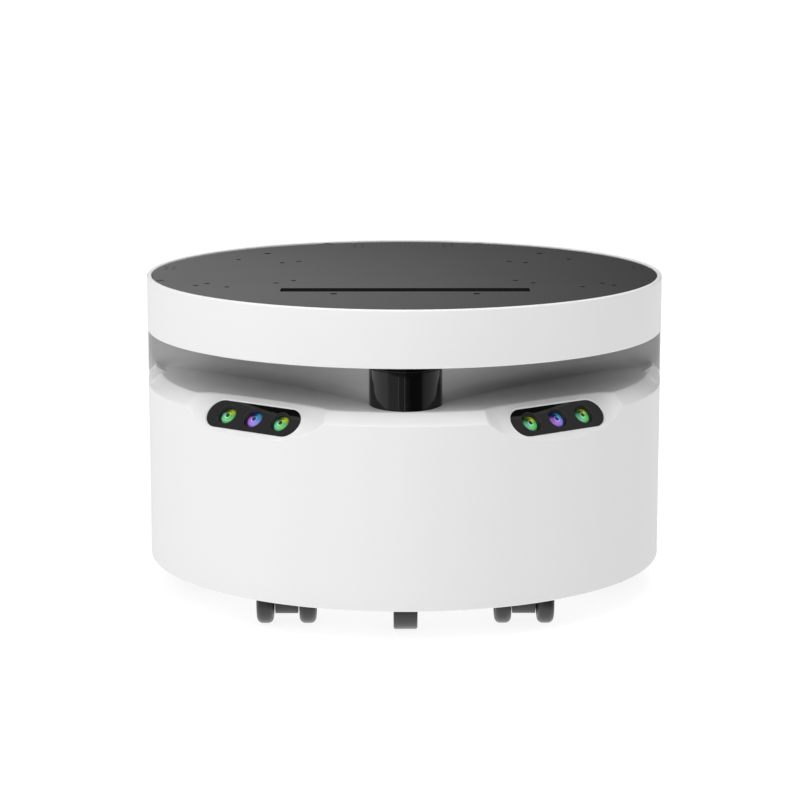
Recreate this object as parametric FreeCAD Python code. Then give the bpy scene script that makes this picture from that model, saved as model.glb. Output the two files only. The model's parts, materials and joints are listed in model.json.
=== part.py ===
"""Round mobile robot base with a scanning lidar in a front slot and two depth cameras.

Frame: millimetres, +Z up, origin on the floor under the middle of the base.
The front of the robot, with the lidar and the cameras, faces -Y.
Each function returns one sub-part as a list of solids; main() writes one STEP per sub-part.
"""

import FreeCAD
import Part
import math
import os

V = FreeCAD.Vector
X_AXIS, Y_AXIS, Z_AXIS = V(1, 0, 0), V(0, 1, 0), V(0, 0, 1)

# Body heights and radii
BODY_R = 250.0
WALL = 3.0
Z_SKIRT = 30.0
Z_CHAMFER = 200.0
Z_SHOULDER = 211.0
Z_SLOT_TOP = 252.0
Z_TOP = 305.0
CHAMFER_IN = 12.0
FLOOR_SLOPE = math.radians(4.0)

# Scan slot: two straight walls meet behind the lidar and run back to the sides
SLOT_APEX_Y = -226.0
SLOT_ANGLE = math.radians(45.0)
NECK_R = 248.0
FLOOR_LIP = 8.0

# Lidar
LIDAR_Y = -203.0
LIDAR_R = 33.2
LIDAR_WINDOW_WALL = 1.8
Z_LIDAR_BASE = 178.0
Z_LIDAR_WINDOW = 208.0
Z_LIDAR_CAP = 246.5
LIDAR_CAP_R = 30.8

# Camera pods: a flat facet that leans back, with a long window of half length A and end radius R
POD_AZIMUTH = 36.5
POD_TILT = 42.0
POD_Z_LOW = 178.8
POD_HALF_WIDTH = 73.0
POD_CORNER_R = 16.0
WINDOW_HALF_STRAIGHT = 39.0
WINDOW_R = 14.5
WINDOW_UP_SLOPE = 23.9
LENS_PITCH = 31.0
LENS_R = 8.3
LENS_DOME_R = 14.0

# Top deck
DECK_R = 245.0
DECK_T = 5.0
DECK_RECESS = 1.0
DECK_SLOT = (232.0, 22.0, -117.5)  # length, width, centre y
CEILING_LIP = 10.0
HOLE_R, SMALL_HOLE_R, BIG_HOLE_R = 2.75, 1.7, 3.5
LARGE_HOLES = [(122, 72), (122, -72), (167, 98), (167, -98), (106, 82), (106, -55), (197, -88), (187, -75)]
SMALL_HOLES = [(76, 214), (90, 214)]
SMALL_SQUARES = [(47, 206, 4, 8), (231, 34, 4, 7)]  # centre x, y and half sides
BIG_HOLES = [(140, 144), (66, -143)]
SCREW_PLACES = [(48.0, -235.0), (233.0, -55.0), (80.0, 226.0)]

# Chassis
Z_PLATE = 60.0
PLATE_T = 4.0
PLATE_R = 246.0
POST_R = 8.0
POSTS = [(115.0, -60.0), (115.0, 96.0), (70.0, 180.0)]
Z_TRAY = 153.0
TRAY_T = 3.0

# Casters: twin wheels at the four corners, one single wheel at the front
TWIN_X, TWIN_Y, TWIN_TRAIL = 110.0, 150.0, 24.0
SINGLE_Y, SINGLE_TRAIL = -170.0, 25.0
CASTER_R = 25.0
TWIN_W = 15.5
TWIN_GAP = 24.0
SINGLE_W = 22.0
CASTER_AXLE_R = 3.0
RUNNING = 0.05

# Drive wheels on sprung arms
DRIVE_X, DRIVE_R, DRIVE_W = 205.0, 80.0, 40.0
TYRE_T = 12.0
AXLE_R = 8.0
ARM_X, ARM_T = 164.0, 10.0
PIVOT_Y, PIVOT_Z, PIVOT_R = -100.0, 85.0, 5.0
SPRING_Y, SPRING_R, SPRING_WIRE, SPRING_TURNS = 36.0, 9.0, 2.4, 6
Z_SPRING = (94.0, 138.0)

# Rear panel
PANEL_W, PANEL_H, PANEL_Z = 110.0, 42.0, 140.0
PANEL_Y = 238.0
BUTTON_X, BUTTON_R = -36.0, 8.0
CHARGE_W, CHARGE_H, CHARGE_Z = 96.0, 26.0, 88.0


def box(x, y, z):
    """A box from three (low, high) pairs."""
    return Part.makeBox(x[1] - x[0], y[1] - y[0], z[1] - z[0], V(x[0], y[0], z[0]))


def rod(radius, start, end):
    """A cylinder of that radius between two points."""
    start, end = V(*start), V(*end)
    return Part.makeCylinder(radius, (end - start).Length, start, end - start)


def disc(radius, low, high, x=0.0, y=0.0):
    return rod(radius, (x, y, low), (x, y, high))


def ring(outer, inner, low, high, x=0.0, y=0.0):
    return disc(outer, low, high, x, y).cut(disc(inner, low - 1, high + 1, x, y))


def prism(points, low, high):
    """A vertical prism on a plan outline."""
    wire = Part.makePolygon([V(x, y, low) for x, y in points + points[:1]])
    return Part.Face(wire).extrude(V(0, 0, high - low))


def turned(points):
    """A solid of revolution about the middle of the base, from (radius, height) points."""
    wire = Part.makePolygon([V(r, 0, z) for r, z in points + points[:1]])
    return Part.Face(wire).revolve(V(0, 0, 0), Z_AXIS, 360)


def turned_x(points, x, y, z):
    """A solid of revolution about a line along X, from (radius, distance along X) points."""
    wire = Part.makePolygon([V(x + d, y, z + r) for r, d in points + points[:1]])
    return Part.Face(wire).revolve(V(x, y, z), X_AXIS, 360)


def mirrored(shape):
    return shape.mirror(V(0, 0, 0), X_AXIS)


def fused(*shapes):
    return shapes[0].multiFuse(list(shapes[1:])).removeSplitter()


def slot_region(inset=0.0):
    """Everything in front of the two slanted slot walls, moved back by inset."""
    apex = SLOT_APEX_Y + inset / math.cos(SLOT_ANGLE)
    far = 300.0
    side_y = apex + far * math.tan(SLOT_ANGLE)
    return prism([(0, apex), (far, side_y), (far, -far), (-far, -far), (-far, side_y)], 0, 400)


# ---------------------------------------------------------------- camera pod frame

def pod_frame(side):
    """Placement whose XY plane is the pod facet: X along it, Y up its slope, Z out of it."""
    azimuth, tilt = math.radians(POD_AZIMUTH), math.radians(POD_TILT)
    outward = V(side * math.sin(azimuth), -math.cos(azimuth), 0)
    normal = outward * math.cos(tilt) + Z_AXIS * math.sin(tilt)
    along = V(math.cos(azimuth), side * math.sin(azimuth), 0)
    up_slope = normal.cross(along)
    origin = outward * BODY_R + V(0, 0, POD_Z_LOW) + up_slope * WINDOW_UP_SLOPE
    return FreeCAD.Placement(origin, FreeCAD.Rotation(along, up_slope, normal, "ZXY"))


def stadium(half, radius, low, high):
    """A long rounded slab in the pod frame, from depth low to depth high."""
    if half <= 0:
        return disc(radius, low, high)
    middle = box((-half, half), (-radius, radius), (low, high))
    return fused(middle, disc(radius, low, high, -half), disc(radius, low, high, half))


def in_pod(shape, side):
    placed = shape.copy()
    placed.Placement = pod_frame(side).multiply(placed.Placement)
    return placed


def pod_cutter(side, depth):
    """What a pod takes off the shell: a wide block with round corners, flaring outwards."""
    reach, top = 60.0, 60.0
    low_edge = -WINDOW_UP_SLOPE - 40
    half_width = POD_HALF_WIDTH + depth
    block = box((-half_width, half_width), (low_edge, top), (-depth, reach))
    flare = math.tan(math.radians(38.0))
    for sign in (-1, 1):
        x0 = sign * (half_width - POD_CORNER_R)
        outline = [V(x0, low_edge, -depth), V(x0 + sign * POD_CORNER_R, low_edge, -depth),
                   V(x0 + sign * (POD_CORNER_R + flare * (reach + depth)), low_edge, reach),
                   V(x0, low_edge, reach)]
        wedge = Part.Face(Part.makePolygon(outline + outline[:1])).extrude(V(0, top - low_edge, 0))
        block = block.fuse(wedge)
    return in_pod(block.removeSplitter(), side)


# ---------------------------------------------------------------- covers

def floor_height(radius):
    """Height of the slot floor, which rises gently inwards from the shoulder."""
    return Z_SHOULDER + (BODY_R - CHAMFER_IN - radius) * math.tan(FLOOR_SLOPE)


def chamfered_form(inset):
    """Skirt, chamfer and slot floor as one turned solid with the pods taken off, moved in by inset."""
    radius, rim = BODY_R - inset, BODY_R - CHAMFER_IN - inset * 0.9
    low = Z_SKIRT - (1 if inset else 0)
    form = turned([(0, low), (radius, low), (radius, Z_CHAMFER - inset * 0.4),
                   (rim, Z_SHOULDER - inset), (0, floor_height(0) - inset)])
    for side in (-1, 1):
        form = form.cut(pod_cutter(side, inset))
    return form


def lower_shell():
    """White lower body shell: skirt, front chamfer, camera facets and the scan slot's floor."""
    front = chamfered_form(0.0).common(slot_region(FLOOR_LIP))
    back = disc(BODY_R, Z_SKIRT, Z_SHOULDER).cut(slot_region())
    interior = disc(BODY_R - WALL, Z_SKIRT - 1, Z_SLOT_TOP).cut(slot_region(FLOOR_LIP))
    body = fused(front, back).cut(interior).cut(chamfered_form(WALL))
    for side in (-1, 1):
        body = body.cut(in_pod(stadium(WINDOW_HALF_STRAIGHT, WINDOW_R + 0.2, -12, 12), side))
    body = body.cut(disc(LIDAR_R + 0.5, Z_SHOULDER - 20, Z_SLOT_TOP, 0, LIDAR_Y))
    for width, height, z in ((PANEL_W, PANEL_H, PANEL_Z), (CHARGE_W, CHARGE_H, CHARGE_Z)):
        body = body.cut(box((-width / 2, width / 2), (200, 260), (z - height / 2, z + height / 2)))
    return largest(body.removeSplitter())


def largest(shape):
    """The biggest solid of a shape; offcuts of a boolean are dropped."""
    return [max(shape.Solids, key=lambda s: s.Volume)]


def neck_cover():
    """White slot cover: two slanted walls behind the lidar and the round wall at the back."""
    low, high = Z_SHOULDER, Z_SLOT_TOP - 0.1
    outer = disc(NECK_R, low, high).cut(slot_region())
    inner = disc(NECK_R - WALL, low - 1, high + 1).cut(slot_region(WALL))
    wall = outer.cut(inner)
    wall = wall.cut(turned([(0, 0), (BODY_R + 1, 0), (BODY_R + 1, floor_height(BODY_R + 1)),
                            (0, floor_height(0))]).common(slot_region(FLOOR_LIP)))
    wall = wall.cut(disc(LIDAR_R + 0.5, low - 20, high + 20, 0, LIDAR_Y))
    return [s for s in wall.Solids if s.Volume > 500]


def top_ring():
    """White upper ring: outer band, ledge under the deck and the slot's ceiling."""
    band = turned([(BODY_R, Z_SLOT_TOP), (BODY_R, Z_TOP - 1.2), (BODY_R - 1.2, Z_TOP),
                   (DECK_R + 0.8, Z_TOP), (DECK_R + 0.3, Z_TOP - 0.5),
                   (DECK_R + 0.3, Z_TOP - DECK_RECESS - DECK_T), (DECK_R - 14, Z_TOP - DECK_RECESS - DECK_T),
                   (DECK_R - 14, Z_TOP - DECK_RECESS - DECK_T - WALL),
                   (BODY_R - WALL, Z_TOP - DECK_RECESS - DECK_T - WALL - 8),
                   (BODY_R - WALL, Z_SLOT_TOP)])
    ceiling = disc(BODY_R - 1, Z_SLOT_TOP, Z_SLOT_TOP + WALL).common(slot_region(CEILING_LIP))
    ring_solid = fused(band, ceiling)
    through = [(x, y, 1.7) for x, y in SCREW_PLACES]
    through += [(x, y, SMALL_HOLE_R + 0.3) for x, y in small_hole_places() if math.hypot(x, y) > DECK_R - 18]
    for x, y, radius in through:
        for sign in (-1, 1):
            ring_solid = ring_solid.cut(disc(radius, Z_TOP - 20, Z_TOP, sign * x, y))
    return [ring_solid]


def small_hole_places():
    """(x, y) of the deck's small holes on the right half: two squares of four and two single ones."""
    places = list(SMALL_HOLES)
    for cx, cy, dx, dy in SMALL_SQUARES:
        places += [(cx + sx * dx, cy + sy * dy) for sx in (-1, 1) for sy in (-1, 1)]
    return places


def top_deck():
    """Dark load plate with its cable slot, fixing holes and countersunk screw seats."""
    low, high = Z_TOP - DECK_RECESS - DECK_T, Z_TOP - DECK_RECESS
    length, width, middle = DECK_SLOT
    cutters = [box((-length / 2, length / 2), (middle - width / 2, middle + width / 2), (low - 1, high + 1))]
    for sign in (-1, 1):
        cutters += [disc(HOLE_R, low - 1, high + 1, sign * x, y) for x, y in LARGE_HOLES]
        cutters += [disc(SMALL_HOLE_R, low - 1, high + 1, sign * x, y) for x, y in small_hole_places()]
        cutters += [disc(BIG_HOLE_R, low - 1, high + 1, sign * x, y) for x, y in BIG_HOLES]
        for x, y in SCREW_PLACES:
            cutters.append(disc(2.2, low - 1, high + 1, sign * x, y))
            cutters.append(Part.makeCone(2.2, 4.4, 2.2, V(sign * x, y, high - 2.2)))
    return [disc(DECK_R, low, high).cut(Part.makeCompound(cutters))]


def deck_screws():
    """Six countersunk screws that hold the deck on the ring's ledge."""
    high = Z_TOP - DECK_RECESS
    screws = []
    for x, y in SCREW_PLACES:
        for sign in (-1, 1):
            head = Part.makeCone(2.0, 4.1, 2.1, V(sign * x, y, high - 2.2))
            shank = disc(1.6, high - 13, high - 2.2, sign * x, y)
            socket = prism([(sign * x + 1.3 * math.cos(k * math.pi / 3), y + 1.3 * math.sin(k * math.pi / 3))
                            for k in range(6)], high - 1.4, high + 1)
            screws.append(fused(head, shank).cut(socket))
    return screws


# ---------------------------------------------------------------- chassis

def base_plate():
    """Steel base plate with the drive wheel windows."""
    plate = disc(PLATE_R, Z_PLATE, Z_PLATE + PLATE_T)
    cutters = []
    for sign in (-1, 1):
        x = sorted((sign * 151.0, sign * 234.0))
        cutters.append(box(x, (-88, 88), (Z_PLATE - 1, Z_PLATE + PLATE_T + 1)))
    return [plate.cut(Part.makeCompound(cutters))]


def post_places():
    return [(sign * x, y) for x, y in POSTS for sign in (-1, 1)]


def frame_posts():
    """Six posts that carry the deck's load down to the base plate."""
    return [disc(POST_R, Z_PLATE + PLATE_T, Z_TOP - DECK_RECESS - DECK_T, x, y) for x, y in post_places()]


def mid_tray():
    """Sheet tray halfway up the posts, under the controller."""
    tray = box((-130, 130), (-95, 192), (Z_TRAY, Z_TRAY + TRAY_T))
    holes = [disc(POST_R + 0.2, Z_TRAY - 1, Z_TRAY + TRAY_T + 1, x, y) for x, y in post_places()]
    holes.append(box((-60, 60), (-20, 5), (Z_TRAY - 1, Z_TRAY + TRAY_T + 1)))
    return [tray.cut(Part.makeCompound(holes))]


def battery_pack():
    """Battery with its end caps, on the base plate."""
    pack = box((-90, 90), (15, 145), (Z_PLATE + PLATE_T, 146))
    return [pack.makeFillet(4, pack.Edges)]


def controller_box():
    """Computer case with cooling fins."""
    low = Z_TRAY + TRAY_T
    case = box((-80, 80), (20, 150), (low, low + 34))
    fins = [box((x, x + 2.5), (26, 144), (low + 33, low + 44)) for x in range(-72, 72, 10)]
    return [fused(case, *fins)]


def motor_driver():
    """Motor driver board on a finned plate."""
    low = Z_PLATE + PLATE_T
    plate = box((-60, 60), (-118, -66), (low, low + 5))
    board = box((-55, 55), (-114, -70), (low + 5, low + 8))
    chips = [box((x, x + 14), (-104, -90), (low + 7, low + 13)) for x in (-46, -22, 2, 26)]
    return [fused(plate, board, *chips)]


# ---------------------------------------------------------------- lidar

def lidar_bracket():
    """Bent bracket from the tray to the lidar's foot."""
    top = Z_LIDAR_BASE
    shelf = box((-28, 28), (LIDAR_Y - 26, -92), (top - 3, top))
    leg = box((-28, 28), (-95, -92), (Z_TRAY + TRAY_T, top))
    foot = box((-28, 28), (-92, -66), (Z_TRAY + TRAY_T, Z_TRAY + TRAY_T + 3))
    return [fused(shelf, leg, foot)]


def lidar_housing():
    """Lower cup of the lidar, which holds the motor and the board."""
    cup = ring(LIDAR_R, LIDAR_R - 2.4, Z_LIDAR_BASE, Z_LIDAR_WINDOW, 0, LIDAR_Y)
    bottom = disc(LIDAR_R, Z_LIDAR_BASE, Z_LIDAR_BASE + 3, 0, LIDAR_Y)
    seat = ring(13.5, 11.5, Z_LIDAR_BASE + 3, Z_LIDAR_BASE + 12, 0, LIDAR_Y)
    return [fused(cup, bottom, seat)]


def lidar_window():
    """Infrared window: a smoked tube that the beam passes through."""
    return [ring(LIDAR_R, LIDAR_R - LIDAR_WINDOW_WALL, Z_LIDAR_WINDOW, Z_LIDAR_CAP, 0, LIDAR_Y)]


def lidar_cap():
    """Top cap, stepped in from the window and closing the lidar."""
    cap = disc(LIDAR_CAP_R, Z_LIDAR_CAP, Z_SLOT_TOP - 0.2, 0, LIDAR_Y)
    lip = ring(LIDAR_R, LIDAR_CAP_R - 1, Z_LIDAR_CAP, Z_LIDAR_CAP + 1.2, 0, LIDAR_Y)
    return [fused(cap, lip)]


def lidar_motor():
    """Flat motor in the housing's seat, with a bore for the rotor's shaft."""
    return [ring(11.4, 2.1, Z_LIDAR_BASE + 3.1, Z_LIDAR_BASE + 18, 0, LIDAR_Y)]


def lidar_board():
    """Ring-shaped electronics board in the housing, with the encoder's light gate."""
    low = Z_LIDAR_BASE + 21
    board = ring(30.4, 14, low, low + 1.6, 0, LIDAR_Y)
    gate = box((19, 25), (LIDAR_Y - 3, LIDAR_Y + 3), (low + 1.6, low + 5))
    return [fused(board, gate)]


def lidar_rotor():
    """Spinning head: shaft, turntable and the block that holds the optics."""
    base = Z_LIDAR_BASE + 28
    shaft = disc(2.05, Z_LIDAR_BASE + 5, base + 1, 0, LIDAR_Y)
    table = disc(28, base, base + 3, 0, LIDAR_Y)
    drum = Part.makeCone(22.5, 26.5, 31, V(0, LIDAR_Y, base + 3))
    face = box((-30, 30), (LIDAR_Y - 40, LIDAR_Y - 15), (base + 3, base + 50))
    drum = drum.cut(face)
    for x, radius in ((-9.5, 6.2), (9.5, 7.2)):
        drum = drum.cut(rod(radius, (x, LIDAR_Y - 20, base + 18), (x, LIDAR_Y - 9, base + 18)))
    return [fused(shaft, table, drum)]


def lidar_optics():
    """Emitter and receiver lenses in the rotor's face."""
    z = Z_LIDAR_BASE + 46
    lenses = []
    for x, radius in ((-9.5, 6.1), (9.5, 7.1)):
        barrel = rod(radius, (x, LIDAR_Y - 15.5, z), (x, LIDAR_Y - 9.1, z))
        dome = Part.makeSphere(radius * 1.6, V(x, LIDAR_Y - 15.5 + radius * 1.25, z))
        dome = dome.common(rod(radius - 0.6, (x, LIDAR_Y - 22, z), (x, LIDAR_Y - 14, z)))
        lenses.append(fused(barrel, dome))
    return lenses


def lidar_encoder_ring():
    """Slotted ring under the turntable that the light gate reads."""
    low = Z_LIDAR_BASE + 24
    band = ring(28, 26.6, low, low + 4, 0, LIDAR_Y)
    teeth = 24
    cutters = []
    for k in range(teeth):
        notch = box((24, 30), (-1.6, 1.6), (low - 1, low + 2.6))
        notch.rotate(V(0, 0, 0), Z_AXIS, k * 360.0 / teeth)
        notch.translate(V(0, LIDAR_Y, 0))
        cutters.append(notch)
    return [band.cut(Part.makeCompound(cutters))]


# ---------------------------------------------------------------- cameras

def lens_places():
    return [-LENS_PITCH, 0.0, LENS_PITCH]


def camera_faceplate(side):
    """Glossy black window plate with three lens holes; it stands in the shell's opening."""
    plate = stadium(WINDOW_HALF_STRAIGHT, WINDOW_R, -3.0, -0.8)
    for x in lens_places():
        plate = plate.cut(disc(LENS_R + 2.2, -9, 9, x, 0))
    return [in_pod(plate, side)]


def camera_lens_barrels(side):
    """Three stepped lens barrels."""
    barrels = []
    for x in lens_places():
        tube = ring(LENS_R + 2.0, LENS_R - 0.2, -9.0, -1.0, x)
        step = ring(LENS_R, LENS_R - 2.2, -9.0, -4.5, x)
        barrels.append(in_pod(fused(tube, step), side))
    return barrels


def camera_lens_glass(side):
    """Three domed front lenses."""
    glasses = []
    for x in lens_places():
        dome = Part.makeSphere(LENS_DOME_R, V(x, 0, -1.6 - LENS_DOME_R))
        dome = dome.common(disc(LENS_R - 0.3, -4.4, 0, x, 0))
        glasses.append(in_pod(dome, side))
    return glasses


def camera_housing(side):
    """Camera body behind the faceplate, with its mounting ears."""
    body = box((-47, 47), (-12.5, 12.5), (-32, -9.1))
    body = body.makeFillet(3, [e for e in body.Edges if abs(e.tangentAt(e.FirstParameter).z) > 0.9])
    ears = [box((x, x + 9), (-5, 5), (-14, -11)) for x in (-56, 47)]
    return [in_pod(fused(body, *ears), side)]


# ---------------------------------------------------------------- rear

def rear_panel():
    """Recessed black panel with the power button's hole and the sockets."""
    z = (PANEL_Z - PANEL_H / 2 - 3, PANEL_Z + PANEL_H / 2 + 3)
    plate = box((-PANEL_W / 2 - 3, PANEL_W / 2 + 3), (PANEL_Y - 3, PANEL_Y), z)
    plate = plate.cut(rod(BUTTON_R + 0.3, (BUTTON_X, 200, PANEL_Z), (BUTTON_X, 260, PANEL_Z)))
    collar = rod(BUTTON_R + 3, (BUTTON_X, PANEL_Y - 1, PANEL_Z), (BUTTON_X, PANEL_Y + 2, PANEL_Z))
    collar = collar.cut(rod(BUTTON_R + 0.3, (BUTTON_X, 200, PANEL_Z), (BUTTON_X, 260, PANEL_Z)))
    panel = fused(plate, collar)
    for x, width, height in ((-8, 15, 7), (14, 15, 7), (38, 16, 14)):
        panel = panel.cut(box((x - width / 2, x + width / 2), (PANEL_Y - 2, PANEL_Y + 3),
                              (PANEL_Z - height / 2, PANEL_Z + height / 2)))
    return [panel]


def power_button():
    """Push button that travels inwards."""
    cap = rod(BUTTON_R, (BUTTON_X, PANEL_Y - 8, PANEL_Z), (BUTTON_X, PANEL_Y + 4, PANEL_Z))
    flange = rod(BUTTON_R + 2, (BUTTON_X, PANEL_Y - 8, PANEL_Z), (BUTTON_X, PANEL_Y - 3.3, PANEL_Z))
    return [fused(cap.makeFillet(0.8, [cap.Edges[0]]), flange)]


def charge_block():
    """Black insulating block that holds the two charging strips."""
    block = box((-CHARGE_W / 2 + 0.5, CHARGE_W / 2 - 0.5), (228, 249),
                (CHARGE_Z - CHARGE_H / 2 + 0.5, CHARGE_Z + CHARGE_H / 2 - 0.5))
    block = block.common(disc(BODY_R - 0.6, 0, 200))
    for z in (CHARGE_Z - 6, CHARGE_Z + 6):
        block = block.cut(box((-38, 38), (236, 260), (z - 3.5, z + 3.5)))
    return [block]


def charging_contacts():
    """Two metal strips that touch the dock."""
    strips = []
    for z in (CHARGE_Z - 6, CHARGE_Z + 6):
        strip = box((-37.8, 37.8), (236.2, 255), (z - 3.3, z + 3.3))
        strips.append(strip.common(disc(BODY_R - 0.2, 0, 200)))
    return strips


# ---------------------------------------------------------------- casters

def caster_places():
    """name: (swivel x, swivel y, trail towards the front, is it a twin)."""
    return {
        "front_left": (-TWIN_X, -TWIN_Y, TWIN_TRAIL, True),
        "front_right": (TWIN_X, -TWIN_Y, TWIN_TRAIL, True),
        "rear_left": (-TWIN_X, TWIN_Y, TWIN_TRAIL, True),
        "rear_right": (TWIN_X, TWIN_Y, TWIN_TRAIL, True),
        "front_centre": (0.0, SINGLE_Y, SINGLE_TRAIL, False),
    }


def caster_mounts():
    """Top plates with their swivel races, screwed under the base plate."""
    mounts = []
    for x, y, _trail, _twin in caster_places().values():
        plate = box((x - 25, x + 25), (y - 21, y + 21), (Z_PLATE - 2.5, Z_PLATE))
        plate = plate.makeFillet(4, [e for e in plate.Edges if abs(e.tangentAt(e.FirstParameter).z) > 0.9])
        race = disc(17, Z_PLATE - 7, Z_PLATE - 2.5, x, y)
        bore = disc(4 + RUNNING, Z_PLATE - 8, Z_PLATE - 1, x, y)
        mounts.append(fused(plate, race).cut(bore))
    return mounts


def caster_fork(x, y, trail, twin):
    """Swivelling part: pin, turntable and the hood or fork that holds the axle."""
    top = Z_PLATE - 7.4
    pin = disc(4, top - 4, Z_PLATE - 2, x, y)
    table = disc(19, top - 3, top, x, y)
    wy = y - trail
    if twin:
        half = TWIN_GAP / 2 - 1.5
        hood = rod(16, (x - half, wy, CASTER_R), (x + half, wy, CASTER_R))
        web = box((x - half, x + half), (wy - 4, y + 13), (CASTER_R + 6, top - 1))
        shade = rod(24.5, (x - half, wy, CASTER_R), (x + half, wy, CASTER_R))
        shade = shade.common(box((x - half, x + half), (wy - 30, y + 12), (CASTER_R + 2, 60)))
        shade = shade.common(box((x - half, x + half), (wy - 30, y + 12), (CASTER_R + 2, top - 1)))
        body = fused(pin, table, hood, web, shade)
    else:
        inner, outer = SINGLE_W / 2 + 1.5, SINGLE_W / 2 + 4.5
        bridge = box((x - outer, x + outer), (wy + 8, y + 12), (top - 3, top))
        cheeks = []
        for sign in (-1, 1):
            xs = sorted((x + sign * inner, x + sign * outer))
            boss = rod(7, (xs[0], wy, CASTER_R), (xs[1], wy, CASTER_R))
            points = [V(xs[0], wy - 6.5, CASTER_R + 2), V(xs[0], wy + 7, CASTER_R), V(xs[0], y + 12, top),
                      V(xs[0], wy + 8, top)]
            cheek = Part.Face(Part.makePolygon(points + points[:1])).extrude(V(outer - inner, 0, 0))
            cheeks += [boss, cheek]
        body = fused(pin, table, bridge, *cheeks)
    return [body.cut(rod(CASTER_AXLE_R, (x - 60, wy, CASTER_R), (x + 60, wy, CASTER_R)))]


def caster_axle(x, y, trail, twin):
    """Steel axle with a flat head at each end, pressed into the fork."""
    half = TWIN_GAP / 2 + TWIN_W - 2.5 if twin else SINGLE_W / 2 + 6
    return [rod(CASTER_AXLE_R, (x - half, y - trail, CASTER_R), (x + half, y - trail, CASTER_R))]


def caster_wheel(x, y, width, shoulder):
    """One caster wheel: round shoulders, dished sides and a running bore."""
    half, bore = width / 2, CASTER_AXLE_R + RUNNING
    dish, rim, hub = 2.0, CASTER_R - 7.0, 7.0
    side = [(rim, half), (rim - 1.5, half - dish), (hub + 1, half - dish), (hub, half - 0.4), (bore, half - 0.4)]
    tread = []
    for sign in (1, -1):
        angles = range(0, 91, 15) if sign > 0 else range(90, -1, -15)
        tread += [(CASTER_R - shoulder + shoulder * math.sin(math.radians(a)),
                   sign * (half - shoulder + shoulder * math.cos(math.radians(a)))) for a in angles]
    outline = side[::-1] + tread + [(r, -d) for r, d in side]
    return turned_x(outline, x, y, CASTER_R)


def caster_wheels(x, y, trail, twin):
    """name suffix: wheel. Twin wheels turn separately, so each is a sub-part."""
    if not twin:
        return {"": caster_wheel(x, y - trail, SINGLE_W, 1.8)}
    offset = TWIN_GAP / 2 + TWIN_W / 2
    return {end: caster_wheel(x + sign * offset, y - trail, TWIN_W, 5.5) for end, sign in (("_a", -1), ("_b", 1))}


# ---------------------------------------------------------------- drive units (built on the right side)

def drive_bracket():
    """Bracket on the base plate: pivot ears at the front, spring seat over the arm."""
    low = Z_PLATE + PLATE_T
    x0, x1 = ARM_X - ARM_T / 2 - 5, ARM_X + ARM_T / 2 + 5
    foot_front = box((x0 - 14, x1), (-120, -90), (low, low + 4))
    ears = [box((x, x + 4), (-112, -88), (low, PIVOT_Z + 11)) for x in (x0, x1 - 4)]
    foot_back = box((x0 - 14, x1 + 4), (89, 116), (low, low + 4))
    upright = box((x0, x1), (89, 93), (low, Z_SPRING[1] + 5))
    seat = box((x0, x1), (SPRING_Y - 14, 93), (Z_SPRING[1] + 1, Z_SPRING[1] + 5))
    stud = disc(4.5, Z_SPRING[1] - 6, Z_SPRING[1] + 2, ARM_X, SPRING_Y)
    rest = disc(11.5, Z_SPRING[1] + 0.02, Z_SPRING[1] + 2, ARM_X, SPRING_Y)
    pin = rod(PIVOT_R, (x0 - 2, PIVOT_Y, PIVOT_Z), (x1 + 2, PIVOT_Y, PIVOT_Z))
    return [fused(foot_front, *ears, foot_back, upright, seat, stud, rest, pin)]


def suspension_spring():
    """Compression spring between the arm and the bracket's seat."""
    low, high = Z_SPRING
    wire_r = SPRING_WIRE / 2
    pitch = (high - low - SPRING_WIRE) / SPRING_TURNS
    path = Part.makeHelix(pitch, high - low - SPRING_WIRE, SPRING_R)
    section = Part.Wire([Part.makeCircle(wire_r, V(SPRING_R, 0, 0), Y_AXIS)])
    coil = Part.Wire(path.Edges).makePipeShell([section], True, True)
    coil.translate(V(ARM_X, SPRING_Y, low + wire_r))
    return coil.Solids


def swing_arm():
    """Arm that carries the wheel: pivot eye, axle boss and spring pad."""
    x = (ARM_X - ARM_T / 2, ARM_X + ARM_T / 2)
    spine = box(x, (PIVOT_Y, SPRING_Y + 13), (76, 90))
    eye = rod(10, (x[0], PIVOT_Y, PIVOT_Z), (x[1], PIVOT_Y, PIVOT_Z))
    boss = rod(14, (x[0] - 3, 0, DRIVE_R), (x[1] + 2, 0, DRIVE_R))
    pad = box((ARM_X - 12, ARM_X + 12), (SPRING_Y - 13, SPRING_Y + 13), (86, 90))
    seat = disc(11.5, 89, Z_SPRING[0] - 0.02, ARM_X, SPRING_Y)
    arm = fused(spine, eye, boss, pad, seat)
    arm = arm.cut(rod(PIVOT_R + RUNNING, (x[0] - 9, PIVOT_Y, PIVOT_Z), (x[1] + 9, PIVOT_Y, PIVOT_Z)))
    return [arm.cut(rod(AXLE_R, (x[0] - 9, 0, DRIVE_R), (x[1] + 9, 0, DRIVE_R)))]


def drive_axle():
    """Fixed axle of the hub motor with the stator on it."""
    shaft = rod(AXLE_R, (ARM_X - ARM_T / 2 - 8, 0, DRIVE_R), (DRIVE_X + 14, 0, DRIVE_R))
    stator = rod(48, (DRIVE_X - 13, 0, DRIVE_R), (DRIVE_X + 9, 0, DRIVE_R))
    return [fused(shaft, stator)]


def drive_hub():
    """Hub motor's rotor: rim, two side covers and the bearing seats."""
    rim_r, half = DRIVE_R - TYRE_T, DRIVE_W / 2
    outline = [(AXLE_R + RUNNING, -half + 4), (24, -half + 3), (52, -half + 3), (56, -half), (rim_r, -half),
               (rim_r, half), (56, half), (52, half - 3), (24, half - 3), (20, half), (0, half),
               (0, half - 5), (48, half - 8), (50, half - 8), (50, -half + 6), (48, -half + 6),
               (AXLE_R + RUNNING, -half + 6)]
    return [turned_x(outline, DRIVE_X, 0, DRIVE_R)]


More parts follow.
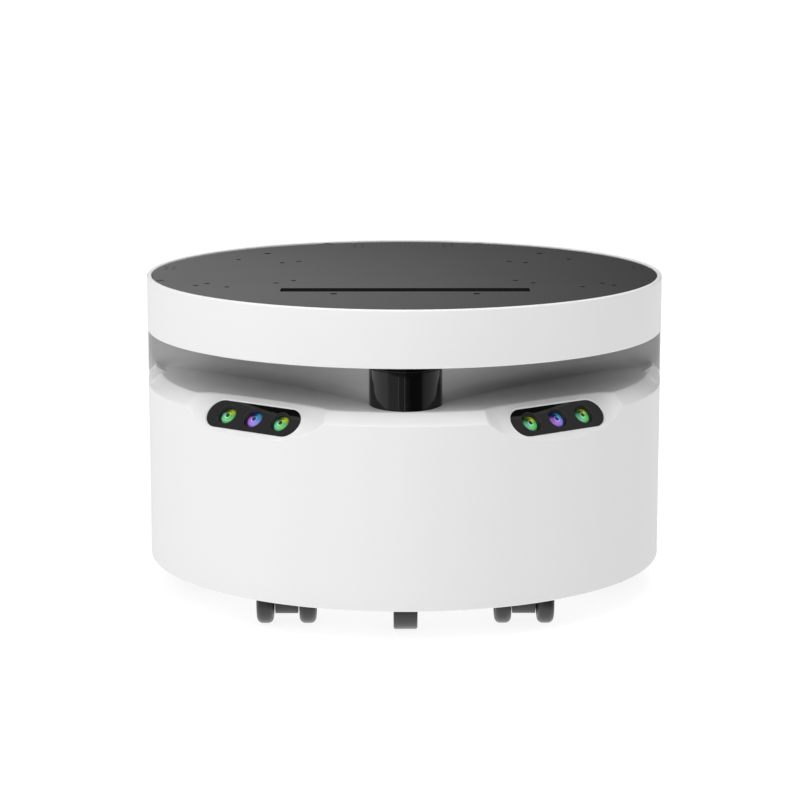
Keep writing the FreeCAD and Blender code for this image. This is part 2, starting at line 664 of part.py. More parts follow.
def drive_tyre():
    """Rubber tyre with rounded shoulders and shallow tread grooves."""
    half, shoulder, inner = DRIVE_W / 2, 5.0, DRIVE_R - TYRE_T
    arc = [(DRIVE_R - shoulder + shoulder * math.sin(math.radians(a)),
            half - shoulder + shoulder * math.cos(math.radians(a))) for a in range(0, 91, 15)]
    groove = [(DRIVE_R, 9), (DRIVE_R - 2, 8), (DRIVE_R - 2, 6), (DRIVE_R, 5)]
    right = [(inner, half)] + arc + groove
    outline = right + [(r, -d) for r, d in right[::-1]]
    return [turned_x(outline, DRIVE_X, 0, DRIVE_R)]


def all_parts():
    parts = {
        "lower_shell": lower_shell(), "neck_cover": neck_cover(), "top_ring": top_ring(),
        "top_deck": top_deck(), "deck_screws": deck_screws(), "base_plate": base_plate(),
        "frame_posts": frame_posts(), "mid_tray": mid_tray(), "battery_pack": battery_pack(),
        "controller_box": controller_box(), "motor_driver": motor_driver(),
        "lidar_bracket": lidar_bracket(), "lidar_housing": lidar_housing(),
        "lidar_window": lidar_window(), "lidar_cap": lidar_cap(), "lidar_motor": lidar_motor(),
        "lidar_board": lidar_board(), "lidar_rotor": lidar_rotor(), "lidar_optics": lidar_optics(),
        "lidar_encoder_ring": lidar_encoder_ring(), "rear_panel": rear_panel(),
        "power_button": power_button(), "charge_block": charge_block(),
        "charging_contacts": charging_contacts(), "caster_mounts": caster_mounts(),
    }
    for name, build in (("camera_faceplates", camera_faceplate), ("camera_lens_barrels", camera_lens_barrels),
                        ("camera_lens_glass", camera_lens_glass), ("camera_housings", camera_housing)):
        parts[name] = build(-1) + build(1)
    units = {
        "drive_bracket": drive_bracket(), "suspension_spring": suspension_spring(),
        "swing_arm": swing_arm(), "drive_axle": drive_axle(), "drive_hub": drive_hub(),
        "drive_tyre": drive_tyre(),
    }
    for name, solids in units.items():
        parts[name + "_right"] = solids
        parts[name + "_left"] = [mirrored(s) for s in solids]
    for name, (x, y, trail, twin) in caster_places().items():
        parts["caster_fork_" + name] = caster_fork(x, y, trail, twin)
        parts["caster_axle_" + name] = caster_axle(x, y, trail, twin)
        for end, wheel in caster_wheels(x, y, trail, twin).items():
            parts["caster_wheel_" + name + end] = [wheel]
    return parts


def main():
    os.makedirs("parts", exist_ok=True)
    for name, solids in all_parts().items():
        for solid in solids:
            if not solid.isValid() or solid.Volume <= 0:
                print("BAD", name, solid.isValid(), solid.Volume)
        shape = solids[0] if len(solids) == 1 else Part.makeCompound(solids)
        shape.exportStep(os.path.join("parts", name + ".step"))
        bounds = shape.BoundBox
        print(name, len(solids), "x %.1f..%.1f y %.1f..%.1f z %.1f..%.1f" % (
            bounds.XMin, bounds.XMax, bounds.YMin, bounds.YMax, bounds.ZMin, bounds.ZMax))


main()
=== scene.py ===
import json
import math

import bmesh
import bpy
import numpy as np
from mathutils import Matrix, Vector


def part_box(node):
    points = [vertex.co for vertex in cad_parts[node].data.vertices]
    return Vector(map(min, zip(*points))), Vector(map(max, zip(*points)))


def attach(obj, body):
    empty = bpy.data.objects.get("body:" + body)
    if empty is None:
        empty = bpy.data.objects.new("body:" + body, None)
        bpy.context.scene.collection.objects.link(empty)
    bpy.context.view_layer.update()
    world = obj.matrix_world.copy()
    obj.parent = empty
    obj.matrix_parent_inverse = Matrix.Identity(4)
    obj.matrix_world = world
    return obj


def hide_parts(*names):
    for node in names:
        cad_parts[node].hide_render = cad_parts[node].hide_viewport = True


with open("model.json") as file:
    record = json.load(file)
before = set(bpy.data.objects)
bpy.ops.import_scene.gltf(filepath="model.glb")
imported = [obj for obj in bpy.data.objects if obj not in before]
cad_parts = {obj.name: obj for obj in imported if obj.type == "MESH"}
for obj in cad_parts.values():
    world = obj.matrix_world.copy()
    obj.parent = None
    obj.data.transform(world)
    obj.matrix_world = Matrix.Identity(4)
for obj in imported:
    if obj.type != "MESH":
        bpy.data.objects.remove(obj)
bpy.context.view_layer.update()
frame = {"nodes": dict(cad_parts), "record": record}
NODES = frame["nodes"]
SLOT_OF = {s["node"]: s["material_slot"] for s in frame["record"]["subparts"]}
MM = 0.001

# Body sizes in millimetres, the same driving sizes as the CAD source
BODY_R, WALL = 250.0, 3.0
Z_SKIRT, Z_CHAMFER, Z_SHOULDER = 30.0, 200.3, 211.0
Z_SLOT_TOP, Z_TOP = 252.0, 305.0
CHAMFER_IN = 12.0
CHAMFER_SLOPE = (Z_SHOULDER - Z_CHAMFER) / CHAMFER_IN
FLOOR_SLOPE = math.tan(math.radians(4.0))
SLOT_V = 226.0
NECK_R = 248.0
LIDAR_Y, LIDAR_R, LIDAR_WALL = -203.0, 33.2, 1.8
Z_LIDAR_WINDOW, Z_LIDAR_CAP = 208.0, 246.5
RING_INNER_R, DECK_SEAT_R, LEDGE_R = 246.4, 245.4, 231.0
Z_LEDGE_TOP, Z_LEDGE_LOW, Z_LEDGE_ROOT = 299.0, 296.0, 289.0
CEILING_INNER_R, Z_CEILING_TOP = 140.0, 255.0

# Visual mesh of the lower shell
FRONT_SPAN = 88.0  # degrees each side of the front that front_shell covers
FRONT_COLUMNS, FRONT_ROWS, REAR_COLUMNS = 1057, 150, 369
FLOOR_CREASE, FACET_CREASE = 0.9, 1.6
SHELL_EDGE_R, EDGE_DROP = 1.3, 0.75  # top edge of the skirt: radius, and height lost there as a share of it
SKIRT_EDGE_R = 1.4
SLOT_WALL_OVERLAP, LIDAR_GAP = 1.5, 0.4

# Camera pods
POD_AZIMUTH, POD_TILT, POD_Z_LOW = 36.5, 42.0, 178.8
POD_SLOPE = math.tan(math.radians(90.0 - POD_TILT))
POD_RAMPS = ((1, 60.5, 0.58), (-1, 69.0, 0.45))  # side of the facet, where its end ramp starts, slope
RAMP_SOFT = 2.5
WINDOW_HALF, WINDOW_R, WINDOW_UP = 39.0, 14.5, 23.9
RECESS_MARGIN, RECESS_SOFT, RECESS_DEPTH = 1.7, 0.8, 16.0
LENS_PITCH, LENS_R, LENS_SEGMENTS = 31.0, 8.0, 72


# ---------------------------------------------------------------- mesh helpers

def new_object(name, verts, faces, smooth_angle=35.0):
    """A mesh object from points in millimetres, smooth except across sharp edges."""
    mesh = bpy.data.meshes.new(name)
    mesh.from_pydata([[c * MM for c in v] for v in verts], [], faces)
    mesh.validate()
    obj = bpy.data.objects.new(name, mesh)
    bpy.context.scene.collection.objects.link(obj)
    tidy_normals(obj, smooth_angle)
    return obj


def tidy_normals(obj, smooth_angle):
    """Welds the mesh, turns its faces outwards and shades it smooth up to the angle."""
    work = bmesh.new()
    work.from_mesh(obj.data)
    bmesh.ops.remove_doubles(work, verts=work.verts, dist=1e-6)
    bmesh.ops.recalc_face_normals(work, faces=work.faces)
    work.to_mesh(obj.data)
    work.free()
    shade(obj, smooth_angle)


def shade(obj, smooth_angle=35.0):
    """Smooth shading with sharp edges where faces meet at more than the angle."""
    obj.data.polygons.foreach_set("use_smooth", [True] * len(obj.data.polygons))
    obj.data.set_sharp_from_angle(angle=math.radians(smooth_angle))


def grid_faces(rows, cols, wrap_rows=False, wrap_cols=False):
    """Quads over a rows by cols grid of points."""
    faces = []
    for i in range(rows if wrap_rows else rows - 1):
        for j in range(cols if wrap_cols else cols - 1):
            a, b = i * cols + j, i * cols + (j + 1) % cols
            c, d = ((i + 1) % rows) * cols + (j + 1) % cols, ((i + 1) % rows) * cols + j
            faces.append((a, b, c, d))
    return faces


def rounded(corners, steps=5):
    """A polyline whose corners (x, y, radius) are turned into arcs; the line is closed."""
    out, count = [], len(corners)
    for i, (x, y, radius) in enumerate(corners):
        p = Vector((x, y))
        if radius <= 0:
            out.append((x, y))
            continue
        to_prev = (Vector(corners[i - 1][:2]) - p).normalized()
        to_next = (Vector(corners[(i + 1) % count][:2]) - p).normalized()
        half = to_prev.angle(to_next) / 2
        reach = radius / math.tan(half)
        start, end = p + to_prev * reach, p + to_next * reach
        middle = p + (to_prev + to_next).normalized() * (radius / math.sin(half))
        a, b = start - middle, end - middle
        turn = a.angle_signed(b)
        for k in range(steps + 1):
            out.append(tuple(middle + Matrix.Rotation(-turn * k / steps, 2) @ a))
    return out


def lathe(name, profile, centre=(0.0, 0.0, 0.0), segments=128, angles=None):
    """A closed (radius, height) profile turned about an upright line; angles makes a part turn."""
    turn = angles is None
    if turn:
        angles = [360.0 * k / segments for k in range(segments)]
    points = []
    for angle in angles:
        a = math.radians(angle)
        for r, h in profile:
            x, y = r * math.sin(a), -r * math.cos(a)
            points.append((x + centre[0], y + centre[1], h + centre[2]))
    faces = grid_faces(len(angles), len(profile), wrap_rows=turn, wrap_cols=True)
    if not turn:
        last = (len(angles) - 1) * len(profile)
        faces.append(tuple(range(len(profile)))[::-1])
        faces.append(tuple(last + k for k in range(len(profile))))
    return new_object(name, points, faces)


def soft_box(name, x, y, z, radius, segments=3):
    """A box from three (low, high) pairs in millimetres with rounded edges."""
    work = bmesh.new()
    bmesh.ops.create_cube(work, size=1.0)
    for v in work.verts:
        v.co = Vector([(r[0] + r[1]) / 2 + c * (r[1] - r[0]) for r, c in zip((x, y, z), v.co)]) * MM
    bmesh.ops.bevel(work, geom=list(work.edges), offset=radius * MM, segments=segments,
                    affect="EDGES", profile=0.5)
    mesh = bpy.data.meshes.new(name)
    work.to_mesh(mesh)
    work.free()
    obj = bpy.data.objects.new(name, mesh)
    bpy.context.scene.collection.objects.link(obj)
    tidy_normals(obj, 50.0)
    return obj


def join(name, pieces):
    """One object from several, keeping their shading."""
    work = bmesh.new()
    for piece in pieces:
        work.from_mesh(piece.data)
        bpy.data.objects.remove(piece)
    mesh = bpy.data.meshes.new(name)
    work.to_mesh(mesh)
    work.free()
    obj = bpy.data.objects.new(name, mesh)
    bpy.context.scene.collection.objects.link(obj)
    shade(obj)
    return obj


def cut(obj, cutters):
    """Takes closed cutters out of a closed piece and applies the result."""
    for cutter in cutters:
        modifier = obj.modifiers.new("cut", "BOOLEAN")
        modifier.object = cutter
        modifier.solver = "EXACT"
    bpy.context.view_layer.update()
    depsgraph = bpy.context.evaluated_depsgraph_get()
    mesh = bpy.data.meshes.new_from_object(obj.evaluated_get(depsgraph))
    obj.modifiers.clear()
    obj.data = mesh
    for cutter in cutters:
        bpy.data.objects.remove(cutter)
    shade(obj)
    return obj


def place(piece, body, slot, *replaced):
    """Names the piece's body, finish slot and the CAD nodes it stands for."""
    piece.data.materials.clear()
    piece.data.materials.append(finishes[slot])
    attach(piece, body)
    if replaced:
        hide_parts(*replaced)


# ---------------------------------------------------------------- materials

NOISE_RANGE = (0.3, 0.7)  # where nearly all values of the noise lie


class Finish:
    """One procedural material: a Principled shader with noise on its colour, roughness and bump."""

    def __init__(self, name, colour, rough, metal=0.0, coat=0.0, **fixed):
        self.material = bpy.data.materials.new(name)
        self.material.use_nodes = True
        self.tree = self.material.node_tree
        self.shader = self.tree.nodes["Principled BSDF"]
        self.colour = colour
        self.set("Base Color", (*colour, 1.0))
        self.set("Roughness", rough)
        self.set("Metallic", metal)
        self.set("Coat Weight", coat)
        for socket, value in fixed.items():
            self.set(socket.replace("_", " "), value)
        self.coords = self.tree.nodes.new("ShaderNodeTexCoord").outputs["Object"]
        self.bumped = None

    def set(self, socket, value):
        self.shader.inputs[socket].default_value = value

    def node(self, kind, **inputs):
        made = self.tree.nodes.new(kind)
        for socket, value in inputs.items():
            made.inputs[socket.replace("_", " ")].default_value = value
        return made

    def link(self, output, target):
        self.tree.links.new(output, target)

    def stretched(self, scale):
        mapping = self.node("ShaderNodeMapping", Scale=scale)
        self.link(self.coords, mapping.inputs["Vector"])
        return mapping.outputs["Vector"]

    def noise(self, scale, detail=3.0, stretch=None):
        made = self.node("ShaderNodeTexNoise", Scale=scale, Detail=detail)
        self.link(self.stretched(stretch) if stretch else self.coords, made.inputs["Vector"])
        return made.outputs["Fac"]

    def vary_colour(self, scale, amount, detail=3.0, stretch=None):
        """The colour drifts darker and lighter by amount."""
        ramp = self.tree.nodes.new("ShaderNodeValToRGB")
        for element, factor, where in zip(ramp.color_ramp.elements, (1 - amount, 1 + amount), NOISE_RANGE):
            element.position = where
            element.color = (*[min(1.0, c * factor) for c in self.colour], 1.0)
        self.link(self.noise(scale, detail, stretch), ramp.inputs["Fac"])
        self.link(ramp.outputs["Color"], self.shader.inputs["Base Color"])
        return self

    def vary_rough(self, scale, low, high, detail=4.0, stretch=None):
        """The roughness drifts between low and high."""
        drift = self.spread(self.noise(scale, detail, stretch), low, high)
        self.link(drift, self.shader.inputs["Roughness"])
        return self

    def spread(self, value, low, high):
        """Noise brought from its usual range to low ... high."""
        made = self.node("ShaderNodeMapRange", From_Min=NOISE_RANGE[0], From_Max=NOISE_RANGE[1],
                         To_Min=low, To_Max=high)
        self.link(value, made.inputs["Value"])
        return made.outputs["Result"]

    def bump(self, scale, strength, distance=0.0002, detail=2.0, stretch=None):
        """Fine relief, laid over any relief already there."""
        bump = self.node("ShaderNodeBump", Strength=strength, Distance=distance)
        self.link(self.noise(scale, detail, stretch), bump.inputs["Height"])
        if self.bumped:
            self.link(self.bumped, bump.inputs["Normal"])
        self.bumped = bump.outputs["Normal"]
        self.link(self.bumped, self.shader.inputs["Normal"])
        return self


def moulded(name, colour, rough, grain=900.0, strength=0.12, coat=0.0):
    """Moulded plastic with a fine texture."""
    made = Finish(name, colour, rough, coat=coat, Coat_Roughness=0.06)
    made.vary_colour(14.0, 0.05).vary_rough(30.0, rough * 0.85, rough * 1.2)
    return made.bump(grain, strength).material


def machined(name, colour, rough, stretch=(1.0, 1.0, 30.0), anisotropic=0.0):
    """Metal with fine lines along one direction."""
    made = Finish(name, colour, rough, metal=1.0, Anisotropic=anisotropic)
    made.vary_colour(60.0, 0.08, 4.0, stretch).vary_rough(140.0, rough * 0.75, rough * 1.3, 4.0, stretch)
    return made.bump(420.0, 0.08, 0.0001, 3.0, stretch).material


def white_plastic():
    """Glossy white cover: faint mould waviness and slight haze on a clear top layer."""
    made = Finish("white_shell", (0.80, 0.80, 0.80), 0.32, coat=0.35, Coat_Roughness=0.10)
    made.vary_colour(3.0, 0.003).vary_rough(8.0, 0.30, 0.35)
    return made.bump(55.0, 0.03, 0.0003).bump(900.0, 0.015, 0.0001).material


def neck_grey_painted_shade():
    """Satin neck moulding, finely eroded, in a grey darker than the white shell that is painted shade of the
    slot recess.
    """
    made = Finish("grey_shell", (0.64, 0.64, 0.64), 0.5, Specular_IOR_Level=0.3)
    made.vary_colour(4.0, 0.02).vary_rough(12.0, 0.45, 0.58)
    return made.bump(1100.0, 0.04, 0.0001).material


def deck_paint():
    """Dark anodised deck: satin gloss with a fine speckle."""
    made = Finish("deck_paint", (0.020, 0.020, 0.021), 0.08, Specular_IOR_Level=0.5)
    made.vary_colour(520.0, 0.25, 2.0).vary_rough(4.0, 0.06, 0.11)
    return made.bump(1500.0, 0.004, 0.0001).material


def smoked():
    """Smoked infrared window: dark and see-through at a steep look, with a hard gloss."""
    made = Finish("lidar_smoke", (0.002, 0.002, 0.002), 0.03, Alpha=0.93, IOR=1.5)
    made.vary_colour(20.0, 0.2).vary_rough(35.0, 0.02, 0.05)
    return made.bump(60.0, 0.004).material


def window_black():
    """Polished black window plate with a trace of dust."""
    made = Finish("window_black", (0.0015, 0.0015, 0.0016), 0.03)
    made.vary_colour(90.0, 0.5, 6.0).vary_rough(40.0, 0.02, 0.05)
    return made.bump(70.0, 0.004).material


def rubber(name, colour):
    """Matt tread rubber, worn unevenly."""
    made = Finish(name, colour, 0.72, Specular_IOR_Level=0.35)
    made.vary_colour(45.0, 0.25, 5.0).vary_rough(60.0, 0.6, 0.85)
    return made.bump(600.0, 0.25).bump(60.0, 0.08, 0.0004).material


def circuit_board():
    """Green lacquer over fine tracks."""
    made = Finish("board", (0.01, 0.09, 0.04), 0.38, coat=0.4)
    made.vary_colour(260.0, 0.35, 1.0, (1.0, 4.0, 1.0)).vary_rough(90.0, 0.3, 0.5)
    return made.bump(700.0, 0.15, 0.0002, 1.0, (4.0, 1.0, 1.0)).material


def coated_lens():
    """Coated glass: the mesh carries the coating colour with painted reflection and highlights; the nodes
    add haze, sparkle and a painted glow.
    """
    made = Finish("lens_glass", (0.1, 0.3, 0.1), 0.06, coat=0.6, Coat_Roughness=0.03)
    coating_and_painted_light = made.tree.nodes.new("ShaderNodeVertexColor")
    coating_and_painted_light.layer_name = "coating_and_painted_light"
    haze = made.spread(made.noise(900.0, 2.0), 0.85, 1.15)
    mixed = made.tree.nodes.new("ShaderNodeVectorMath")
    mixed.operation = "MULTIPLY"
    made.link(coating_and_painted_light.outputs["Color"], mixed.inputs[0])
    made.link(haze, mixed.inputs[1])
    # Painted glow: the coating colour, with its painted reflection, also drives emission, though the lens is
    # no lamp
    for socket in ("Base Color", "Emission Color"):
        made.link(mixed.outputs["Vector"], made.shader.inputs[socket])
    made.set("Emission Strength", 0.35)
    made.vary_rough(200.0, 0.04, 0.09)
    return made.bump(300.0, 0.01).material


finishes = {
    "white_shell": white_plastic(),
    "grey_shell": neck_grey_painted_shade(),
    "deck_paint": deck_paint(),
    "black_steel": moulded("black_steel", (0.012, 0.012, 0.013), 0.35, 1200.0, 0.08),
    "steel": machined("steel", (0.42, 0.43, 0.44), 0.34, (1.0, 30.0, 30.0)),
    "zinc_steel": machined("zinc_steel", (0.60, 0.60, 0.58), 0.28, (6.0, 6.0, 6.0)),
    "aluminium": machined("aluminium", (0.62, 0.63, 0.65), 0.30, (30.0, 1.0, 30.0)),
    "black_plastic": moulded("black_plastic", (0.014, 0.014, 0.015), 0.42),
    "dark_plastic": moulded("dark_plastic", (0.028, 0.028, 0.031), 0.30, coat=0.3),
    "window_black": window_black(),
    "lidar_smoke": smoked(),
    "lens_glass": coated_lens(),
    "button_metal": machined("button_metal", (0.66, 0.67, 0.69), 0.22, (12.0, 12.0, 12.0), 0.4),
    "contact_metal": machined("contact_metal", (0.72, 0.52, 0.22), 0.20, (1.0, 30.0, 30.0)),
    "board": circuit_board(),
    "battery_case": moulded("battery_case", (0.012, 0.022, 0.05), 0.45, 700.0, 0.2),
    "motor_case": machined("motor_case", (0.50, 0.51, 0.53), 0.38, (8.0, 8.0, 8.0)),
    "caster_tread": moulded("caster_tread", (0.016, 0.016, 0.017), 0.36, 500.0, 0.10, 0.15),
    "drive_tread": rubber("drive_tread", (0.014, 0.014, 0.014)),
}


def paint_cad_nodes():
    """Every carried-over CAD node takes the procedural material of its slot."""
    for name, node in NODES.items():
        node.data.materials.clear()
        node.data.materials.append(finishes[SLOT_OF[name]])


# ---------------------------------------------------------------- white shell

def soft_min(a, b, reach):
    """The smaller of two heights, with the crease between them rounded over reach."""
    h = np.clip(0.5 + 0.5 * (b - a) / reach, 0.0, 1.0)
    return b * (1 - h) + a * h - reach * h * (1 - h)


def pod_coordinates(rho, azimuth, side):
    """Along the facet (towards the robot's side), out from the axis, and up from the window's middle."""
    delta = np.radians(azimuth * side - POD_AZIMUTH)
    along, out = rho * np.sin(delta), rho * np.cos(delta)
    up = (BODY_R - out) / math.sin(math.radians(POD_TILT)) - WINDOW_UP
    return along, out, up


def shell_height(rho, azimuth):
    """Height of the shell's upper surface: slot floor, chamfer and camera facets, with soft creases."""
    floor = Z_SHOULDER + (BODY_R - CHAMFER_IN - rho) * FLOOR_SLOPE
    chamfer = Z_CHAMFER + (BODY_R - rho) * CHAMFER_SLOPE
    height = soft_min(floor, chamfer, FLOOR_CREASE)
    for side in (-1, 1):
        along, out, _ = pod_coordinates(rho, azimuth, side)
        facet = POD_Z_LOW + (BODY_R - out) * POD_SLOPE
        for sign, start, slope in POD_RAMPS:
            facet = facet + slope * RAMP_SOFT * np.logaddexp(0.0, (sign * along - start) / RAMP_SOFT)
        facet = np.where(out > 0, facet, Z_TOP)
        height = soft_min(height, facet, FACET_CREASE)
    return height


def window_recess(rho, azimuth):
    """How far the shell drops behind the camera windows."""
    drop = np.zeros_like(rho)
    for side in (-1, 1):
        along, out, up = pod_coordinates(rho, azimuth, side)
        outside = np.hypot(np.maximum(np.abs(along) - WINDOW_HALF, 0.0), up) - WINDOW_R
        inside = np.clip((RECESS_MARGIN - outside) / RECESS_SOFT, 0.0, 1.0) * (out > 0)
        drop = drop + inside * RECESS_DEPTH
    return drop


def floor_end(azimuth):
    """Distance from the middle at which the slot floor ends: at the slanted wall or at the lidar."""
    a = math.radians(abs(azimuth))
    wall = (SLOT_V - SLOT_WALL_OVERLAP) / (math.sin(a) + math.cos(a))
    gap = LIDAR_R + LIDAR_GAP
    off_axis = abs(LIDAR_Y) * math.sin(a)
    if off_axis < gap:
        wall = max(wall, abs(LIDAR_Y) * math.cos(a) + math.sqrt(gap * gap - off_axis * off_axis))
    return wall


def skirt_foot():
    """(radius, height) up from inside the skirt, round its lower edge."""
    inner, r = BODY_R - WALL, SKIRT_EDGE_R
    foot = [(inner, 70.0), (inner, Z_SKIRT + r)]
    for k in range(1, 6):
        a = math.pi * k / 6
        foot.append((BODY_R - WALL / 2 - (WALL / 2) * math.cos(a), Z_SKIRT + r - r * math.sin(a)))
    return foot + [(BODY_R, Z_SKIRT + r)]


def front_shell():
    """The front of the lower shell, from the foot of its skirt over the chamfer to the slot wall."""
    azimuths = np.linspace(-FRONT_SPAN, FRONT_SPAN, FRONT_COLUMNS)
    foot, edge = skirt_foot(), SHELL_EDGE_R
    walls, rounds = np.linspace(0.0, 1.0, 12), np.linspace(90.0, 15.0, 6)
    points = []
    for azimuth in azimuths:
        top = float(shell_height(np.array(BODY_R - edge * 0.3), azimuth)) - edge * EDGE_DROP
        column = list(foot) + [(BODY_R, foot[-1][1] + (top - foot[-1][1]) * t) for t in walls[1:]]
        radii = [BODY_R - edge + edge * math.sin(math.radians(a)) for a in rounds[1:]]
        inner = floor_end(azimuth)
        radii += list(np.linspace(BODY_R - edge, inner, FRONT_ROWS))
        rho = np.array(radii)
        z = shell_height(rho, azimuth)
        near = np.clip((rho - (BODY_R - edge)) / edge, 0.0, 1.0)
        z = z - edge * EDGE_DROP * (1 - np.sqrt(1 - near * near)) - window_recess(rho, azimuth)
        column += list(zip(radii, z))
        column += [(inner, z[-1] - 4.0)]
        a = math.radians(azimuth)
        points += [(r * math.sin(a), -r * math.cos(a), h) for r, h in column]
    per_column = len(points) // len(azimuths)
    return new_object("front_shell", points, grid_faces(len(azimuths), per_column), 28.0)


def opening(node, margin, radius):
    """Cutter through the back wall as large as the CAD node's face, plus a margin all round."""
    low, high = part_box(node)
    return soft_box("cutter", (low.x / MM - margin, high.x / MM + margin), (225, 270),
                    (low.z / MM - margin, high.z / MM + margin), radius)


def rear_shell():
    """The sides and back of the lower shell, with a narrow bevel under the neck and the panel openings."""
    r = BODY_R
    profile = skirt_foot()[1:] + [(r, 90.0), (r, 150.0), (r, 205.5), (r - 0.15, 206.6),
                                  (r - 1.9, 211.6), (r - 2.4, 212.0), (r - 4.5, 212.0),
                                  (r - WALL - 2, 211.0), (r - WALL, 205.0), (r - WALL, 150.0),
                                  (r - WALL, 90.0)]
    angles = np.linspace(FRONT_SPAN, 360 - FRONT_SPAN, REAR_COLUMNS)
    shell = lathe("rear_shell", profile, angles=list(angles))
    return cut(shell, [opening("rear_panel", -3.0, 4.0), opening("charge_block", 0.5, 3.0)])


def slot_end_steps():
    """The small raised steps where the chamfer meets the side covers."""
    steps = []
    for sign in (-1, 1):
        outline = rounded([(BODY_R, 200.0, 0), (BODY_R, 206.5, 1.0), (249.0, 210.5, 0.8),
                           (242.6, 217.2, 0.8), (232.0, 210.6, 0), (232.0, 200.0, 0)], 3)
        angles = [sign * a for a in np.linspace(82.0, 92.0, 12)]
        steps.append(lathe("slot_end", outline, angles=angles))
    return join("slot_end_steps", steps)


def neck_path():
    """(x, y, outward normal, soft foot) along the right half of the neck, from the lidar to the back.

    The slanted wall runs to a bend near the side, turns to meet the skirt's edge, and goes on as the
    round wall, which steps in from the edge to the neck's own radius.
    """
    foot, inner_x, side_r = 9.0, 20.0, 249.6
    end, bend = Vector((249.2, -12.5)), Vector((223.0, 223.0 - SLOT_V))
    along, out = Vector((1, 1)).normalized(), (end - bend).normalized()
    reach = 22.0
    half = (math.pi - along.angle(out)) / 2
    radius = reach * math.tan(half)
    start = bend - along * reach
    middle = start + Vector((1, -1)).normalized() * radius
    path = []
    for t in np.linspace(0.0, 1.0, 60):
        x = inner_x + (start.x - inner_x) * t
        path.append((x, x - SLOT_V, Vector((1, -1)).normalized(), foot))
    sweep = along.angle(out)
    steps = 24
    for k in range(1, steps + 1):
        spoke = Matrix.Rotation(-sweep * k / steps, 2) @ (start - middle)
        x, y = middle.x + spoke.x, middle.y + spoke.y
        path.append((x, y, -spoke.normalized(), foot * (1 - 0.9 * k / steps)))
    first = path[-1]
    for t, small_foot in ((0.5, 0.8), (0.97, 0.2)):
        x, y = first[0] + (end.x - first[0]) * t, first[1] + (end.y - first[1]) * t
        path.append((x, y, first[2], small_foot))
    azimuth_end = math.degrees(math.atan2(end.x, -end.y))
    for azimuth in np.linspace(azimuth_end + 0.15, 180.0, 100):
        a = math.radians(azimuth)
        direction = Vector((math.sin(a), -math.cos(a)))
        radius_here = float(np.interp(azimuth, [azimuth_end, 112.0, 125.0], [side_r, side_r, NECK_R]))
        path.append((radius_here * direction.x, radius_here * direction.y, direction, 0.0))
    return path


def neck_skin():
    """Slanted slot walls with a soft foot and rounded ends, and the round wall behind them."""
    path = neck_path()
    left = [(-x, y, Vector((-n.x, n.y)), r) for x, y, n, r in path[::-1][1:]]
    points, steps, top = [], 10, Z_SLOT_TOP - 0.1
    for x, y, normal, radius in path + left:
        column = [(-WALL, 205.0), (-WALL, top), (0.0, top), (0.0, 240.0)]
        on_slot = radius > 0
        for k in range(steps + 1):
            phi = math.radians(90.0 * k / steps)
            out = radius * (1 - math.cos(phi))
            px, py = x + normal.x * out, y + normal.y * out
            floor = 206.0
            if on_slot:
                floor = Z_SHOULDER + (BODY_R - CHAMFER_IN - math.hypot(px, py)) * FLOOR_SLOPE
            column.append((out, floor + radius * (1 - math.sin(phi)) + (0.05 if on_slot else 0.0)))
        column.append((radius, column[-1][1] - 2.0))
        for out, z in column:
            points.append((x + normal.x * out, y + normal.y * out, z))
    per_column = steps + 6
    return new_object("neck_skin", points, grid_faces(len(points) // per_column, per_column), 40.0)


def ring_skin():
    """Upper band with soft edges and the ledge under the deck."""
    band = rounded([(BODY_R, Z_SLOT_TOP, 1.8), (BODY_R, Z_TOP, 1.6), (DECK_SEAT_R + 0.2, Z_TOP, 0.9),
                    (DECK_SEAT_R, Z_LEDGE_TOP, 0), (LEDGE_R, Z_LEDGE_TOP, 0), (LEDGE_R, Z_LEDGE_LOW, 0),
                    (RING_INNER_R, Z_LEDGE_ROOT, 0), (RING_INNER_R, Z_SLOT_TOP + 0.4, 0),
                    (RING_INNER_R, Z_SLOT_TOP, 0.3)], 6)
    return lathe("ring_skin", band, segments=360)


def ceiling_skin():
    """Dark ceiling plate of the slot, inside the upper band."""
    outer, low = RING_INNER_R - 0.2, Z_SLOT_TOP + 0.3
    plate = rounded([(outer, low, 0.3), (outer, Z_CEILING_TOP, 0), (CEILING_INNER_R, Z_CEILING_TOP, 0),
                     (CEILING_INNER_R, low, 0)], 3)
    return lathe("ceiling_skin", plate, segments=180)


# ---------------------------------------------------------------- camera windows

def side_name(side):
    return "right" if side > 0 else "left"


def pod_matrix(side):
    """From a window's own axes (along, up its slope, outwards) to the robot's frame."""
    azimuth, tilt = math.radians(POD_AZIMUTH), math.radians(POD_TILT)
    outward = Vector((side * math.sin(azimuth), -math.cos(azimuth), 0.0))
    normal = outward * math.cos(tilt) + Vector((0, 0, 1)) * math.sin(tilt)
    along = Vector((math.cos(azimuth), side * math.sin(azimuth), 0.0))
    up = normal.cross(along)
    origin = (outward * BODY_R + Vector((0, 0, POD_Z_LOW)) + up * WINDOW_UP) * MM
    matrix = Matrix((along, up, normal)).transposed().to_4x4()
    matrix.translation = origin
    return matrix


def stadium_sweep(name, section, steps=28):
    """A (offset, height) section carried round the window's outline."""
    points = []
    for end in (1, -1):
        for k in range(steps + 1):
            a = math.radians(-90 + 180.0 * k / steps) + (math.pi if end < 0 else 0)
            for offset, height in section:
                reach = WINDOW_R + offset
                points.append((end * WINDOW_HALF + reach * math.cos(a), reach * math.sin(a), height))
    faces = grid_faces(2 * (steps + 1), len(section), wrap_rows=True, wrap_cols=True)
    return new_object(name, points, faces, 50.0)


def camera_rim(side):
    """White bevelled frame round a camera window."""
    section = rounded([(3.1, -1.5, 0), (3.1, 0.06, 0.05), (0.9, 0.16, 0.5), (-0.15, -1.1, 0.3),
                       (-0.15, -6.0, 0), (1.0, -6.0, 0)], 4)
    rim = stadium_sweep("camera_rim_" + side_name(side), section)
    rim.data.transform(pod_matrix(side))
    return rim
